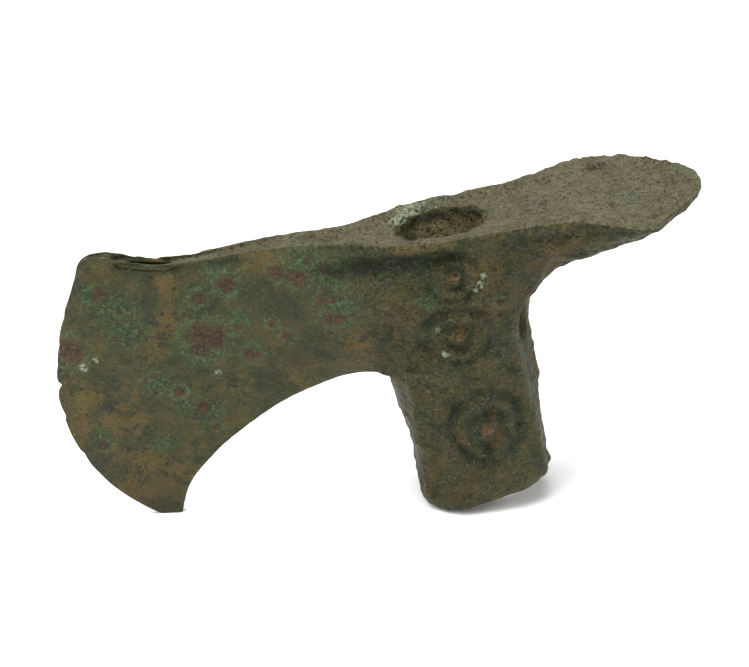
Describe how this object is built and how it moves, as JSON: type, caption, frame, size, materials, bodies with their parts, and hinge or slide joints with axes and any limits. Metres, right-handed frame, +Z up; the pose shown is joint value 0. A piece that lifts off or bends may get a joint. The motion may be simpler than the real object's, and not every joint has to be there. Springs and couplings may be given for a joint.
{
  "type": "bronze age axe-adze head",
  "caption": "Cast bronze axe-adze head: upright crescent axe blade, tubular socket with an oval shaft hole and ring-and-boss relief, and a flared round-ended adze blade.",
  "frame": {"origin": "on the ground under the middle of the head's outline, as it stands on the blade's lower tip and the socket's foot", "axes": "+Z up, +X along the head from the axe blade to the adze blade, Y across it, ornamented side towards -Y"},
  "size_m": [0.1976, 0.0502, 0.1075],
  "materials": {
    "patinated_bronze": "matt olive-brown patina with green and dark red corrosion"
  },
  "bodies": {
    "root": {"axe_adze_head": "patinated_bronze"}
  },
  "joints": []
}
